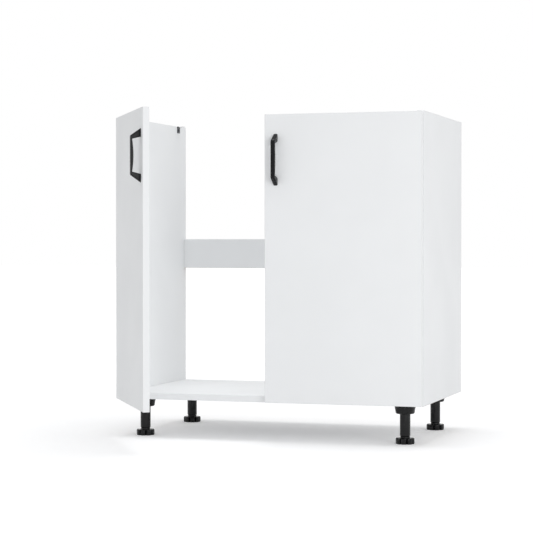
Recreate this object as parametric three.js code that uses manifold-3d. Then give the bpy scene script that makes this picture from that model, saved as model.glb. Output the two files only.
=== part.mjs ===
// Sink base cabinet: an open-topped carcass with a rail instead of a back, two
// doors on concealed hinges, and four adjustable legs.
//
// Millimetres, +Z up. While the model is built, X = 0 is the middle of the
// carcass, Y = 0 the front edge of its side panels and Z = 0 the floor. The last
// lines move the origin to the floor point under the middle of the whole object.
//
// Hinge pieces are drawn in plan as (u, v): u runs inwards from the outer face
// of the side panel, v runs forwards from the panel's front edge. The closed
// door lies between v = DOOR_GAP and v = DOOR_GAP + DOOR_THICKNESS.

import * as THREE from 'three';
import { mergeVertices } from 'three/addons/utils/BufferGeometryUtils.js';
import Module from 'manifold-3d';

const wasm = await Module();
wasm.setup();

// ---- driving dimensions -------------------------------------------------

// carcass
const CABINET_WIDTH = 800;
const SIDE_HEIGHT = 720;
const SIDE_DEPTH = 462;
const SIDE_THICKNESS = 16;
const BOTTOM_THICKNESS = 16;
const RAIL_THICKNESS = 16;
const RAIL_HEIGHT = 80;
const RAIL_ABOVE_BOTTOM = 312.5;
const BOARD_EDGE = 0.6;
const BOARD_CLEARANCE = 0.1;

// doors
const DOOR_THICKNESS = 16;
const DOOR_GAP = 2;
const DOOR_SIDE_REVEAL = 1;
const DOOR_CENTRE_GAP = 2;
const DOOR_TOP_REVEAL = 3;
const DOOR_BOTTOM_REVEAL = 1;
const LEFT_DOOR_OPEN_DEG = 58.5;

// legs
const LEG_HEIGHT = 97;
const LEG_SIDE_INSET = 57;
const LEG_FRONT_SETBACK = 50;
const LEG_REAR_SETBACK = 62;
const SOCKET_HEIGHT = 22.7;
const SOCKET_TOP_RADIUS = 26;
const SOCKET_BOTTOM_RADIUS = 22;
const SOCKET_RIM = 3;
const SOCKET_ROOF = 3.5;
const TUBE_RADIUS = 12;
const TUBE_TAPER = 3;
const SPINDLE_RADIUS = 6;
const SPINDLE_LENGTH = 39;
const FOOT_RADIUS = 23;
const FOOT_HEIGHT = 15.5;
const FOOT_NECK_RADIUS = 10.5;
const FOOT_NECK_HEIGHT = 5.5;
const FOOT_EDGE = 1.6;
const FOOT_LOBES = 12;
const FOOT_LOBE_DEPTH = 0.9;

// bow handles
const HANDLE_LENGTH = 128;
const HANDLE_WIDTH = 11;
const HANDLE_PROJECTION = 25;
const HANDLE_FOOT_LENGTH = 20.4;
const HANDLE_BAR_LENGTH = 93;
const HANDLE_BAR_END_THICKNESS = 4.5;
const HANDLE_BAR_MIDDLE_THICKNESS = 7.7;
const HANDLE_HOLE_SPACING = 96;
const HANDLE_INNER_STEP = 8;
const HANDLE_CORNER = 2.6;
const HANDLE_EDGE = 1;
const HANDLE_INSET = 28.5;
const HANDLE_TOP_OFFSET = 49;
const HANDLE_SCREW_RADIUS = 1.8;
const HANDLE_SCREW_GRIP = 12;
const SCREW_HEAD_RADIUS = 4;
const SCREW_HEAD_HEIGHT = 2.4;

// concealed hinges, fixed pivots and cup pivots at (u, v) with the door closed
const HINGE_END_OFFSET = 100;
const CUP_RADIUS = 17.2;
const CUP_WALL = 0.9;
const CUP_CENTRE_FROM_EDGE = 22;
const CUP_DEPTH = 12.2;
const CUP_FLOOR = 0.7;
const CUP_FLANGE_THICKNESS = 0.8;
const CUP_FLANGE_RADIUS = 18.5;
const CUP_FLANGE_END = 3.5;
const CUP_FLANGE_WIDTH = 12;
const CUP_FLANGE_OFFSET = 9.5;
const CUP_BOSS_REACH = 16.5;
const CUP_SCREW_SPACING = 45;
const PIN_RADIUS = 1.25;
const OUTER_FIXED_PIVOT = [38, -11.3];
const OUTER_CUP_PIVOT = [10.6, 6.6];
const OUTER_BEND = [17.3, 9.3];
const OUTER_TURN_RATIO = -0.19;
const INNER_FIXED_PIVOT = [26.6, 2.6];
const INNER_CUP_PIVOT = [10.1, 11.2];
const INNER_BEND = [21.8, 12.1];
const INNER_TURN_RATIO = -0.12;
const OUTER_LINK_WIDTH = 3;
const OUTER_LINK_CHEEK = 1.4;
const INNER_LINK_WIDTH = 2;
const LINK_EYE_WALL = 0.7;
const INNER_EYE_WALL = 1.2;
const INNER_EYE_TRAVEL = 1.3;
const ARM_INNER_HALF_WIDTH = 4;
const ARM_WALL = 1.2;
const ARM_TOP = 27;
const ARM_LENGTH = 62;
const ARM_NOSE_RADIUS = 3;
const ARM_KNEE_RADIUS = 3.3;
const ARM_SHOULDER = 22;
const ARM_SKIRT = 5;
const ARM_MOUTH = 6;
const PLATE_SETBACK = 37;
const PLATE_SCREW_SPACING = 32;
const PLATE_THICKNESS = 2;
const PLATE_WING = 12;
const PLATE_END = 6;
const PLATE_HALF_WIDTH = 9;
const PLATE_SCREW_RADIUS = 2.2;

// knock-down fittings: cams in the boards, bolts in the side panels
const CAM_RADIUS = 7.2;
const CAM_HEIGHT = 12.2;
const CAM_SLOT_WIDTH = 1.2;
const CAM_SLOT_DEPTH = 1.5;
const CAM_FROM_END = 34;
const CAM_SETBACK = 130;
const BOLT_RADIUS = 3.2;
const BOLT_NECK_RADIUS = 2.2;
const BOLT_THREAD_RADIUS = 2.35;
const BOLT_THREAD_LENGTH = 10;
const BOLT_HEAD_LENGTH = 3;

// worktop brackets
const BRACKET_LENGTH = 18;
const BRACKET_DROP = 18;
const BRACKET_REACH = 18;
const BRACKET_THICKNESS = 2;
const BRACKET_REAR_SETBACK = 52;
const BRACKET_HOLE_RADIUS = 2.5;

// door bumpers
const BUMPER_RADIUS = 4;
const BUMPER_INSET = 22;

// clearance where one piece runs in or sits on another
const CLEARANCE = 0.3;

// how many flats stand for a circle, by the size of the piece
const SIDES_LARGE = 20;
const SIDES_MEDIUM = 16;
const SIDES_SMALL = 10;
const SIDES_PIN = 8;

// ---- materials ------------------------------------------------------------

const finish = (color, roughness, metalness) =>
  new THREE.MeshStandardMaterial({ color, roughness, metalness });
const WHITE_BOARD = finish(0xe6e8e8, 0.5, 0);
const DARK_METAL = finish(0x24262a, 0.45, 0.6);
const BLACK_PLASTIC = finish(0x1b1c1e, 0.55, 0);
const BRIGHT_STEEL = finish(0xb4b6b8, 0.3, 1);
const CAST_ZINC = finish(0x9a9c9e, 0.4, 0.9);
const BRACKET_STEEL = finish(0x4c4e50, 0.5, 0.7);
const CLEAR_RUBBER = finish(0xcfd3d4, 0.35, 0);

// ---- geometry helpers -----------------------------------------------------

// A closed three.js geometry as a solid that can be cut and joined.
function toSolid(geometry) {
  const bare = geometry.clone();
  bare.deleteAttribute('normal');
  bare.deleteAttribute('uv');
  const merged = mergeVertices(bare, 1e-4);
  return new wasm.Manifold(new wasm.Mesh({
    numProp: 3,
    vertProperties: new Float32Array(merged.attributes.position.array),
    triVerts: new Uint32Array(merged.index.array),
  }));
}

function toGeometry(solid) {
  const mesh = solid.getMesh();
  const geometry = new THREE.BufferGeometry();
  geometry.setAttribute('position', new THREE.BufferAttribute(mesh.vertProperties, 3));
  geometry.setIndex(new THREE.BufferAttribute(mesh.triVerts, 1));
  geometry.computeVertexNormals();
  return geometry;
}

const join = (...geometries) =>
  toGeometry(geometries.map(toSolid).reduce((whole, piece) => whole.add(piece)));

function cut(geometry, ...tools) {
  const start = toSolid(geometry);
  return toGeometry(tools.map(toSolid).reduce((rest, tool) => rest.subtract(tool), start));
}

function named(name, geometry, material) {
  const mesh = new THREE.Mesh(geometry, material);
  mesh.name = name;
  return mesh;
}

const polygon = (points) => new THREE.Shape(points.map(([x, y]) => new THREE.Vector2(x, y)));

// Points on an arc, from one direction to another in degrees, both included.
function arc([x, y], radius, from, to, steps) {
  const points = [];
  for (let i = 0; i <= steps; i += 1) {
    const angle = THREE.MathUtils.degToRad(from + (to - from) * i / steps);
    points.push([x + radius * Math.cos(angle), y + radius * Math.sin(angle)]);
  }
  return points;
}

// A flat cranked bar: an eye at each end, straight to the bend from both.
function crank(start, bend, end, startRadius, endRadius, halfWidth) {
  const bearing = ([x0, y0], [x1, y1]) => THREE.MathUtils.radToDeg(Math.atan2(y1 - y0, x1 - x0));
  const eye = (centre, radius) => {
    const gap = THREE.MathUtils.radToDeg(Math.asin(halfWidth / radius));
    const away = bearing(centre, bend);
    return arc(centre, radius, away + gap, away + 360 - gap, 7);
  };
  const normals = [bearing(start, bend), bearing(bend, end)].map((degrees) => {
    const angle = THREE.MathUtils.degToRad(degrees - 90);
    return [Math.cos(angle), Math.sin(angle)];
  });
  const [[ax, ay], [bx, by]] = normals;
  const mitre = halfWidth / (1 + ax * bx + ay * by);
  const right = [bend[0] + mitre * (ax + bx), bend[1] + mitre * (ay + by)];
  const left = [bend[0] - mitre * (ax + bx), bend[1] - mitre * (ay + by)];
  return polygon([...eye(start, startRadius), right, ...eye(end, endRadius), left]);
}

// A closed outline through corners [x, y, radius]; the radius is where rounding starts.
function roundedOutline(corners) {
  const shape = new THREE.Shape();
  corners.forEach(([x, y, radius], i) => {
    const towards = ([otherX, otherY]) => {
      const share = radius / Math.hypot(otherX - x, otherY - y);
      return [x + share * (otherX - x), y + share * (otherY - y)];
    };
    const start = towards(corners.at(i - 1));
    if (i === 0) shape.moveTo(...start);
    else shape.lineTo(...start);
    if (radius > 0) shape.quadraticCurveTo(x, y, ...towards(corners[(i + 1) % corners.length]));
  });
  shape.closePath();
  return shape;
}

// A plan outline raised along Z from z0 to z1.
function upright(shape, z0, z1) {
  const options = { depth: z1 - z0, bevelEnabled: false };
  return new THREE.ExtrudeGeometry(shape, options).translate(0, 0, z0);
}

// An elevation outline (x, z) carried along Y from y0 to y1.
function alongY(shape, y0, y1) {
  const options = { depth: y1 - y0, bevelEnabled: false };
  return new THREE.ExtrudeGeometry(shape, options).rotateX(Math.PI / 2).translate(0, y1, 0);
}

// A side outline (y, z) carried along X, middled on x = 0, with a bevelled edge.
function alongX(shape, width, bevel, curveSegments) {
  const options = {
    depth: width - 2 * bevel,
    bevelEnabled: true,
    bevelThickness: bevel,
    bevelSize: bevel,
    bevelOffset: -bevel,
    bevelSegments: 1,
    curveSegments,
  };
  const geometry = new THREE.ExtrudeGeometry(shape, options);
  geometry.translate(0, 0, bevel - width / 2);
  return geometry.rotateX(Math.PI / 2).rotateZ(Math.PI / 2);
}

// A board with its arrises eased, from its lowest to its highest corner.
function board([x0, y0, z0], [x1, y1, z1]) {
  const e = BOARD_EDGE;
  const outline = polygon([
    [x0 + e, y0], [x1 - e, y0], [x1, y0 + e], [x1, y1 - e],
    [x1 - e, y1], [x0 + e, y1], [x0, y1 - e], [x0, y0 + e],
  ]);
  return new THREE.ExtrudeGeometry(outline, {
    depth: z1 - z0 - 2 * e,
    bevelEnabled: true,
    bevelThickness: e,
    bevelSize: e,
    bevelOffset: -e,
    bevelSegments: 1,
  }).translate(0, 0, z0 + e);
}

// Revolved profiles [radius, height], turned to stand along X, Y or Z.
const profile = (points) => points.map(([r, h]) => new THREE.Vector2(r, h));
const revolveY = (points, sides) => new THREE.LatheGeometry(profile(points), sides);
const revolveZ = (points, sides) => revolveY(points, sides).rotateX(Math.PI / 2);
const revolveX = (points, sides) => revolveY(points, sides).rotateZ(-Math.PI / 2);
const rod = (radius, from, to) => [[0, from], [radius, from], [radius, to], [0, to]];

// ---- derived places -------------------------------------------------------

const HALF_WIDTH = CABINET_WIDTH / 2;
const INNER_HALF_WIDTH = HALF_WIDTH - SIDE_THICKNESS;
const CARCASS_BOTTOM = LEG_HEIGHT;
const CARCASS_TOP = LEG_HEIGHT + SIDE_HEIGHT;
const FLOOR_TOP = CARCASS_BOTTOM + BOTTOM_THICKNESS;
const RAIL_BOTTOM = FLOOR_TOP + RAIL_ABOVE_BOTTOM;
const RAIL_TOP = RAIL_BOTTOM + RAIL_HEIGHT;
const RAIL_MIDDLE = (RAIL_BOTTOM + RAIL_TOP) / 2;
const DOOR_BOTTOM = CARCASS_BOTTOM + DOOR_BOTTOM_REVEAL;
const DOOR_TOP = CARCASS_TOP - DOOR_TOP_REVEAL;
const DOOR_BACK = -DOOR_GAP;
const DOOR_FRONT = DOOR_BACK - DOOR_THICKNESS;
const HINGE_HEIGHTS = { lower: DOOR_BOTTOM + HINGE_END_OFFSET, upper: DOOR_TOP - HINGE_END_OFFSET };
const CUP_U = DOOR_SIDE_REVEAL + CUP_CENTRE_FROM_EDGE;
const CUP_FLOOR_V = DOOR_GAP + CUP_DEPTH;
const HANDLE_MIDDLE = DOOR_TOP - HANDLE_TOP_OFFSET - HANDLE_LENGTH / 2;
const HANDLE_HOLES = [-HANDLE_HOLE_SPACING / 2, HANDLE_HOLE_SPACING / 2];
const SIDES = { left: -1, right: 1 };

// A plan point (u, v) of a hinge, on the cabinet's left (-1) or right (+1) side.
const plan = (side, [u, v]) => [side * (HALF_WIDTH - u), -v];
const planShape = (side, points) => polygon(points.map((point) => plan(side, point)));

// ---- carcass --------------------------------------------------------------

const boltHole = (x, y, z, length) =>
  revolveX(rod(BOLT_RADIUS + CLEARANCE, -length / 2, length / 2), SIDES_SMALL).translate(x, y, z);

// Bolt bores and cam pockets at both ends of a board. The cam's axis is along Z
// from the underside, or along Y from the rear face.
function endFittings(y, z, camAxis, camFace) {
  const cutters = [];
  for (const side of Object.values(SIDES)) {
    const camX = side * (INNER_HALF_WIDTH - CAM_FROM_END);
    const boreMiddle = side * (INNER_HALF_WIDTH - CAM_FROM_END / 2 + CLEARANCE);
    cutters.push(boltHole(boreMiddle, y, z, CAM_FROM_END + 4 * CLEARANCE));
    const pocket = rod(CAM_RADIUS + CLEARANCE, -1, CAM_HEIGHT + CLEARANCE);
    const cutter = camAxis === 'z'
      ? revolveZ(pocket, SIDES_MEDIUM).translate(camX, y, camFace)
      : revolveY(pocket, SIDES_MEDIUM).rotateX(Math.PI).translate(camX, camFace, z);
    cutters.push(cutter);
  }
  return cutters;
}

// Blind hole in the inner face of a side panel.
function sideHole(side, y, z, radius, depth) {
  const x = side * (INNER_HALF_WIDTH + (depth - 1) / 2);
  const length = depth + 1;
  return revolveX(rod(radius, -length / 2, length / 2), SIDES_SMALL).translate(x, y, z);
}

const CAM_ROWS = { front: CAM_SETBACK, rear: SIDE_DEPTH - CAM_SETBACK };
const BOTTOM_BOLT_Z = CARCASS_BOTTOM + BOTTOM_THICKNESS / 2;
const RAIL_BOLT_Y = SIDE_DEPTH - RAIL_THICKNESS / 2;

function sidePanel(side) {
  const inner = side * INNER_HALF_WIDTH;
  const outer = side * HALF_WIDTH;
  const panel = board(
    [Math.min(inner, outer), 0, CARCASS_BOTTOM],
    [Math.max(inner, outer), SIDE_DEPTH, CARCASS_TOP],
  );
  const holes = Object.values(HINGE_HEIGHTS).flatMap((z) =>
    [-1, 1].map((end) => {
      const screwZ = z + end * PLATE_SCREW_SPACING / 2;
      return sideHole(side, PLATE_SETBACK, screwZ, PLATE_SCREW_RADIUS, 11);
    }));
  const boltRadius = BOLT_THREAD_RADIUS + CLEARANCE;
  const boltDepth = BOLT_THREAD_LENGTH + 2 * CLEARANCE;
  for (const y of Object.values(CAM_ROWS)) {
    holes.push(sideHole(side, y, BOTTOM_BOLT_Z, boltRadius, boltDepth));
  }
  holes.push(sideHole(side, RAIL_BOLT_Y, RAIL_MIDDLE, boltRadius, boltDepth));
  return cut(panel, ...holes);
}

function bottomPanel() {
  const end = INNER_HALF_WIDTH - BOARD_CLEARANCE;
  const panel = board([-end, 0, CARCASS_BOTTOM], [end, SIDE_DEPTH, FLOOR_TOP]);
  const fittings = Object.values(CAM_ROWS).flatMap((y) =>
    endFittings(y, BOTTOM_BOLT_Z, 'z', CARCASS_BOTTOM));
  return cut(panel, ...fittings);
}

function rearRail() {
  const end = INNER_HALF_WIDTH - BOARD_CLEARANCE;
  const rail = board(
    [-end, SIDE_DEPTH - RAIL_THICKNESS, RAIL_BOTTOM],
    [end, SIDE_DEPTH, RAIL_TOP],
  );
  return cut(rail, ...endFittings(RAIL_BOLT_Y, RAIL_MIDDLE, 'y', SIDE_DEPTH));
}

// Cam: a drum with a blind mouth that faces the bolt, and a screwdriver slot.
function cam(side, boltOffset) {
  const drum = revolveY(rod(CAM_RADIUS, CLEARANCE, CAM_HEIGHT), SIDES_MEDIUM);
  const mouthReach = CAM_RADIUS + 1;
  const mouth = revolveX(rod(BOLT_RADIUS + CLEARANCE, -2, mouthReach), SIDES_SMALL)
    .rotateY(side > 0 ? 0 : Math.PI)
    .translate(0, boltOffset, 0);
  const slotLength = 1.4 * CAM_RADIUS;
  const slot = new THREE.BoxGeometry(slotLength, 2 * CAM_SLOT_DEPTH, CAM_SLOT_WIDTH)
    .translate(0, CLEARANCE, 0);
  return cut(drum, mouth, slot);
}

// Bolt: a thread in the side panel and a waisted stem whose head the cam holds.
function bolt(side) {
  const head = CAM_FROM_END + 1;
  const neck = head - BOLT_HEAD_LENGTH;
  const geometry = revolveX([
    [0, -BOLT_THREAD_LENGTH],
    [BOLT_THREAD_RADIUS, -BOLT_THREAD_LENGTH],
    [BOLT_THREAD_RADIUS, CLEARANCE],
    [BOLT_RADIUS, CLEARANCE],
    [BOLT_RADIUS, neck - 5],
    [BOLT_NECK_RADIUS, neck - 4],
    [BOLT_NECK_RADIUS, neck],
    [BOLT_RADIUS, neck + 0.6],
    [BOLT_RADIUS, head],
    [0, head],
  ], SIDES_SMALL);
  return geometry.rotateY(side > 0 ? Math.PI : 0);
}

// ---- worktop brackets -------------------------------------------------------

function worktopBracket(side) {
  const face = INNER_HALF_WIDTH - BOARD_CLEARANCE;
  const section = polygon([
    [face, CARCASS_TOP],
    [face - BRACKET_REACH, CARCASS_TOP],
    [face - BRACKET_REACH, CARCASS_TOP - BRACKET_THICKNESS],
    [face - BRACKET_THICKNESS, CARCASS_TOP - BRACKET_THICKNESS],
    [face - BRACKET_THICKNESS, CARCASS_TOP - BRACKET_DROP],
    [face, CARCASS_TOP - BRACKET_DROP],
  ].map(([x, z]) => [side * x, z]));
  const rear = SIDE_DEPTH - BRACKET_REAR_SETBACK;
  const angle = alongY(section, rear - BRACKET_LENGTH, rear);
  const middle = rear - BRACKET_LENGTH / 2;
  const topHole = revolveZ(rod(BRACKET_HOLE_RADIUS, -5, 5), SIDES_SMALL).translate(
    side * (face - BRACKET_REACH * 0.6), middle, CARCASS_TOP);
  const faceHole = revolveX(rod(BRACKET_HOLE_RADIUS, -5, 5), SIDES_SMALL).translate(
    side * face, middle, CARCASS_TOP - BRACKET_DROP * 0.6);
  return cut(angle, topHole, faceHole);
}

// ---- legs -------------------------------------------------------------------

const SOCKET_TOP = CARCASS_BOTTOM - BOARD_CLEARANCE;
const TUBE_TOP = SOCKET_TOP - SOCKET_ROOF - CLEARANCE;
const TUBE_BOTTOM = FOOT_HEIGHT + FOOT_NECK_HEIGHT + CLEARANCE;

function legSocket() {
  const bore = TUBE_RADIUS + CLEARANCE;
  const low = SOCKET_TOP - SOCKET_HEIGHT;
  return revolveZ([
    [0, SOCKET_TOP - SOCKET_ROOF],
    [bore, SOCKET_TOP - SOCKET_ROOF],
    [bore, low],
    [SOCKET_BOTTOM_RADIUS, low],
    [SOCKET_TOP_RADIUS - 1, SOCKET_TOP - SOCKET_RIM - 1],
    [SOCKET_TOP_RADIUS, SOCKET_TOP - SOCKET_RIM],
    [SOCKET_TOP_RADIUS, SOCKET_TOP],
    [0, SOCKET_TOP],
  ], SIDES_LARGE);
}

function legTube() {
  const bore = SPINDLE_RADIUS + CLEARANCE;
  const boreTop = FOOT_HEIGHT + FOOT_NECK_HEIGHT + SPINDLE_LENGTH + 1;
  return revolveZ([
    [0, boreTop],
    [bore, boreTop],
    [bore, TUBE_BOTTOM],
    [TUBE_RADIUS - 1.5, TUBE_BOTTOM],
    [TUBE_RADIUS, TUBE_BOTTOM + TUBE_TAPER],
    [TUBE_RADIUS, TUBE_TOP - 1],
    [TUBE_RADIUS - 1, TUBE_TOP],
    [0, TUBE_TOP],
  ], SIDES_MEDIUM);
}

// Screw foot: a lobed disc that is turned by hand, its neck and its spindle.
function legFoot() {
  const points = [];
  const steps = FOOT_LOBES * 3;
  for (let i = 0; i < steps; i += 1) {
    const angle = 2 * Math.PI * i / steps;
    const hollow = i % 3 === 0 ? FOOT_LOBE_DEPTH : 0;
    const radius = FOOT_RADIUS - FOOT_EDGE - hollow;
    points.push([radius * Math.cos(angle), radius * Math.sin(angle)]);
  }
  const disk = new THREE.ExtrudeGeometry(polygon(points), {
    depth: FOOT_HEIGHT - 2 * FOOT_EDGE,
    bevelEnabled: true,
    bevelThickness: FOOT_EDGE,
    bevelSize: FOOT_EDGE,
    bevelSegments: 1,
  }).translate(0, 0, FOOT_EDGE);
  const neckTop = FOOT_HEIGHT + FOOT_NECK_HEIGHT;
  const stem = revolveZ([
    [0, FOOT_HEIGHT / 2],
    [FOOT_NECK_RADIUS, FOOT_HEIGHT / 2],
    [FOOT_NECK_RADIUS, neckTop],
    [SPINDLE_RADIUS, neckTop],
    [SPINDLE_RADIUS, neckTop + SPINDLE_LENGTH - 1],
    [SPINDLE_RADIUS - 1, neckTop + SPINDLE_LENGTH],
    [0, neckTop + SPINDLE_LENGTH],
  ], SIDES_MEDIUM);
  return join(disk, stem);
}

// ---- doors, handles and bumpers ---------------------------------------------

const doorFreeEdge = DOOR_CENTRE_GAP / 2;
const doorHingeEdge = HALF_WIDTH - DOOR_SIDE_REVEAL;
const handleX = (side) => side * (doorFreeEdge + HANDLE_INSET);

function door(side) {
  const ends = [side * doorFreeEdge, side * doorHingeEdge];
  const panel = board(
    [Math.min(...ends), DOOR_FRONT, DOOR_BOTTOM],
    [Math.max(...ends), DOOR_BACK, DOOR_TOP],
  );
  const cups = Object.values(HINGE_HEIGHTS).map((z) => {
    const [x] = plan(side, [CUP_U, 0]);
    const bore = rod(CUP_RADIUS + CLEARANCE, -CUP_FLOOR_V - CLEARANCE, 1);
    return revolveY(bore, SIDES_LARGE).translate(x, 0, z);
  });
  const screwHoles = HANDLE_HOLES.map((offset) =>
    revolveY(rod(HANDLE_SCREW_RADIUS + CLEARANCE, DOOR_FRONT - 1, DOOR_BACK + 1), SIDES_SMALL)
      .translate(handleX(side), 0, HANDLE_MIDDLE + offset));
  return cut(panel, ...cups, ...screwHoles);
}

// Bow handle, drawn from the side as (y, z) and carried across its width: two
// straight slanted legs and a bar that thickens towards its middle.
function handle(side) {
  const face = DOOR_FRONT - BOARD_CLEARANCE;
  const tip = HANDLE_LENGTH / 2;
  const barEnd = HANDLE_BAR_LENGTH / 2;
  const innerCorner = barEnd - HANDLE_INNER_STEP;
  const depthAtEnd = HANDLE_PROJECTION - HANDLE_BAR_END_THICKNESS;
  const depthAtMiddle = HANDLE_PROJECTION - HANDLE_BAR_MIDDLE_THICKNESS;
  const crown = 2 * depthAtMiddle - depthAtEnd;
  const upper = [
    [0, tip, 0],
    [HANDLE_PROJECTION, barEnd, HANDLE_CORNER],
  ];
  const upperInside = [
    [depthAtEnd, innerCorner, HANDLE_CORNER],
    [0, tip - HANDLE_FOOT_LENGTH, 0],
  ];
  const mirrored = (corners) => corners.map(([depth, z, radius]) => [depth, -z, radius]).reverse();
  const shape = roundedOutline([
    ...upper,
    ...mirrored(upper),
    ...mirrored(upperInside),
    [crown, 0, innerCorner - HANDLE_CORNER],
    ...upperInside,
  ].map(([depth, z, radius]) => [face - depth, z, radius]));
  const bow = alongX(shape, HANDLE_WIDTH, HANDLE_EDGE, 5);
  bow.translate(handleX(side), 0, HANDLE_MIDDLE);
  const bore = rod(HANDLE_SCREW_RADIUS + CLEARANCE, face - HANDLE_SCREW_GRIP - 1, face + 1);
  const holes = HANDLE_HOLES.map((offset) =>
    revolveY(bore, SIDES_SMALL).translate(handleX(side), 0, HANDLE_MIDDLE + offset));
  return cut(bow, ...holes);
}

// Handle screw, put in from the back of the door.
function handleScrew(side, offset) {
  const seat = DOOR_BACK + CLEARANCE;
  return revolveY([
    [0, DOOR_FRONT - HANDLE_SCREW_GRIP],
    [HANDLE_SCREW_RADIUS, DOOR_FRONT - HANDLE_SCREW_GRIP],
    [HANDLE_SCREW_RADIUS, seat],
    [SCREW_HEAD_RADIUS, seat],
    [SCREW_HEAD_RADIUS * 0.9, seat + SCREW_HEAD_HEIGHT * 0.7],
    [SCREW_HEAD_RADIUS * 0.5, seat + SCREW_HEAD_HEIGHT],
    [0, seat + SCREW_HEAD_HEIGHT],
  ], SIDES_SMALL).translate(handleX(side), 0, HANDLE_MIDDLE + offset);
}

// Rubber dot on the back of the door, which meets the bottom panel's front edge.
function bumper(side) {
  const back = DOOR_BACK + BOARD_CLEARANCE;
  const front = -CLEARANCE;
  return revolveY([
    [0, back],
    [BUMPER_RADIUS, back],
    [BUMPER_RADIUS * 0.85, (back + front) / 2],
    [BUMPER_RADIUS * 0.5, front],
    [0, front],
  ], SIDES_SMALL).translate(side * (doorFreeEdge + BUMPER_INSET), 0, BOTTOM_BOLT_Z);
}

// ---- concealed hinges ---------------------------------------------------------

const ARM_OUTER_HALF_WIDTH = ARM_INNER_HALF_WIDTH + ARM_WALL;
const LEG_INNER_HALF_WIDTH = ARM_OUTER_HALF_WIDTH + CLEARANCE;
const LEG_OUTER_HALF_WIDTH = LEG_INNER_HALF_WIDTH + OUTER_LINK_CHEEK;
const BOSS_INNER_HALF_WIDTH = LEG_OUTER_HALF_WIDTH + CLEARANCE;
const PIVOT_HOLE_RADIUS = PIN_RADIUS + CLEARANCE;

// How far a cup pivot's pin can reach sideways inside the cup's round wall.
function bossReach([u]) {
  const offset = CUP_U - u + PIVOT_HOLE_RADIUS;
  return Math.sqrt((CUP_RADIUS - CLEARANCE) ** 2 - offset ** 2);
}

// Upright pin or hole at a plan point, from -reach to +reach about z.
function pin(side, point, radius, reach, z) {
  const [x, y] = plan(side, point);
  return revolveZ(rod(radius, -reach, reach), SIDES_PIN).translate(x, y, z);
}

function hingeCup(side, z) {
  const centre = [CUP_U, 0];
  const [x] = plan(side, centre);
  const flangeFront = -DOOR_GAP + BOARD_CLEARANCE;
  const flangeBack = flangeFront + CUP_FLANGE_THICKNESS;
  const [insideFloor, outsideFloor] = [CUP_FLOOR_V - CUP_FLOOR, CUP_FLOOR_V];
  const drum = revolveY(rod(CUP_RADIUS, -outsideFloor, flangeFront + 0.2), SIDES_LARGE);
  const rim = revolveY(rod(CUP_FLANGE_RADIUS, flangeFront, flangeBack), SIDES_LARGE);
  const half = CUP_FLANGE_WIDTH / 2;
  const straight = CUP_SCREW_SPACING / 2 + CUP_FLANGE_END - half;
  const wing = polygon([
    ...arc([CUP_FLANGE_OFFSET, straight], half, 0, 180, 5),
    ...arc([CUP_FLANGE_OFFSET, -straight], half, 180, 360, 5),
  ].map(([u, w]) => [x - side * u, z + w]));
  const whole = join(
    drum.translate(x, 0, z),
    rim.translate(x, 0, z),
    alongY(wing, flangeFront, flangeBack),
  );

  // The pocket is round, less a boss on each side that carries the pivots.
  const pocketRadius = CUP_RADIUS - CUP_WALL;
  const bossStart = CUP_U - CUP_BOSS_REACH;
  const frontAngle = THREE.MathUtils.radToDeg(Math.acos(-bossStart / pocketRadius));
  const rearAngle = THREE.MathUtils.radToDeg(Math.asin(BOSS_INNER_HALF_WIDTH / pocketRadius));
  const pocket = polygon([
    ...arc([0, 0], pocketRadius, -frontAngle, frontAngle, 13),
    [-bossStart, BOSS_INNER_HALF_WIDTH],
    ...arc([0, 0], pocketRadius, 180 - rearAngle, 180 + rearAngle, 4),
    [-bossStart, -BOSS_INNER_HALF_WIDTH],
  ].map(([u, w]) => [x - side * u, z + w]));
  const pinHoles = [OUTER_CUP_PIVOT, INNER_CUP_PIVOT].map((pivot) =>
    pin(side, pivot, PIVOT_HOLE_RADIUS, bossReach(pivot), z));
  const screwHoles = [-1, 1].map((end) =>
    revolveY(rod(PLATE_SCREW_RADIUS, -DOOR_GAP - 0.5, 1), SIDES_PIN)
      .translate(x - side * CUP_FLANGE_OFFSET, 0, z + end * CUP_SCREW_SPACING / 2));
  return cut(whole, alongY(pocket, -insideFloor, 1), ...pinHoles, ...screwHoles);
}

function hingeArm(side, z) {
  const rear = -ARM_LENGTH;
  const low = SIDE_THICKNESS + PLATE_THICKNESS + BOARD_CLEARANCE + CLEARANCE;
  const [kneeU, kneeV] = OUTER_FIXED_PIVOT;
  const outline = [
    [low, rear],
    [ARM_TOP, rear],
    [ARM_TOP, kneeV - ARM_SHOULDER],
    ...arc(OUTER_FIXED_PIVOT, ARM_KNEE_RADIUS, -28, 39, 3),
    ...arc(INNER_FIXED_PIVOT, ARM_NOSE_RADIUS, 39, 156, 4),
    [low, kneeV - ARM_SKIRT],
  ];
  const roof = ARM_TOP - ARM_WALL;
  const roofEnd = kneeV - ARM_SHOULDER + ARM_WALL / 3;
  const open = kneeU + 2 * ARM_KNEE_RADIUS;
  const past = INNER_FIXED_PIVOT[1] + 2 * ARM_NOSE_RADIUS;
  const inside = [
    [low - 1, rear - 1],
    [roof, rear - 1],
    [roof, roofEnd],
    [kneeU - ARM_MOUTH, kneeV - ARM_MOUTH],
    [open, kneeV - ARM_MOUTH],
    [open, past],
    [low - 1, past],
  ];
  const span = (reach) => [z - reach, z + reach];
  const body = upright(planShape(side, outline), ...span(ARM_OUTER_HALF_WIDTH));
  const channel = upright(planShape(side, inside), ...span(ARM_INNER_HALF_WIDTH));
  const hole = pin(side, OUTER_FIXED_PIVOT, PIVOT_HOLE_RADIUS, ARM_OUTER_HALF_WIDTH + 1, z);
  const axle = pin(side, INNER_FIXED_PIVOT, PIN_RADIUS, ARM_OUTER_HALF_WIDTH - 0.2, z);
  return join(cut(body, channel, hole), axle);
}

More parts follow.
